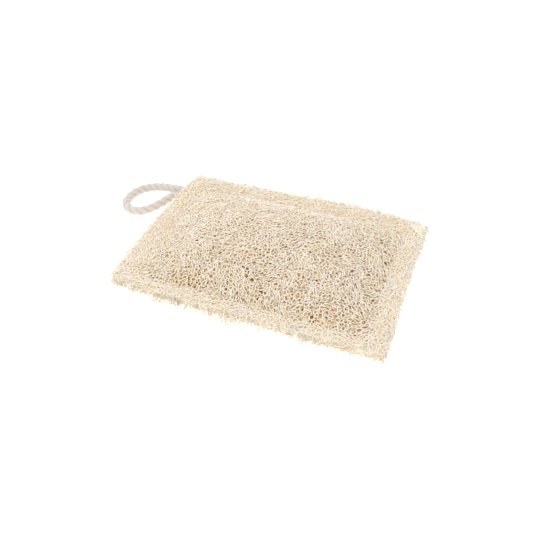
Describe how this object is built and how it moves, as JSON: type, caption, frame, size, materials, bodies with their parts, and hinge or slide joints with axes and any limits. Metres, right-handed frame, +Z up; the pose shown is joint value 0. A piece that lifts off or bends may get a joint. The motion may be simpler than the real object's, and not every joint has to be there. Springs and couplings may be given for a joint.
{
  "type": "loofah sponge pad",
  "caption": "Pillow-shaped scrubbing pad of dried loofah fibre, sewn round a pressed rim, with frayed edges and a twisted cotton cord as a hanging loop.",
  "frame": {"origin": "on the surface that the pad lies on, under the middle of its outline without the hanging cord", "axes": "+X along the long side, away from the hanging cord; +Y across the pad, towards the corner with the cord; +Z up"},
  "size_m": [0.1857, 0.11, 0.0236],
  "materials": {
    "loofah_fibre": "matte",
    "cotton_thread": "matte",
    "cotton_cord": "matte"
  },
  "bodies": {
    "root": {"upper_loofah_sheet": "loofah_fibre", "lower_loofah_sheet": "loofah_fibre", "seam_thread": "cotton_thread", "hanging_cord": "cotton_cord"}
  },
  "joints": []
}
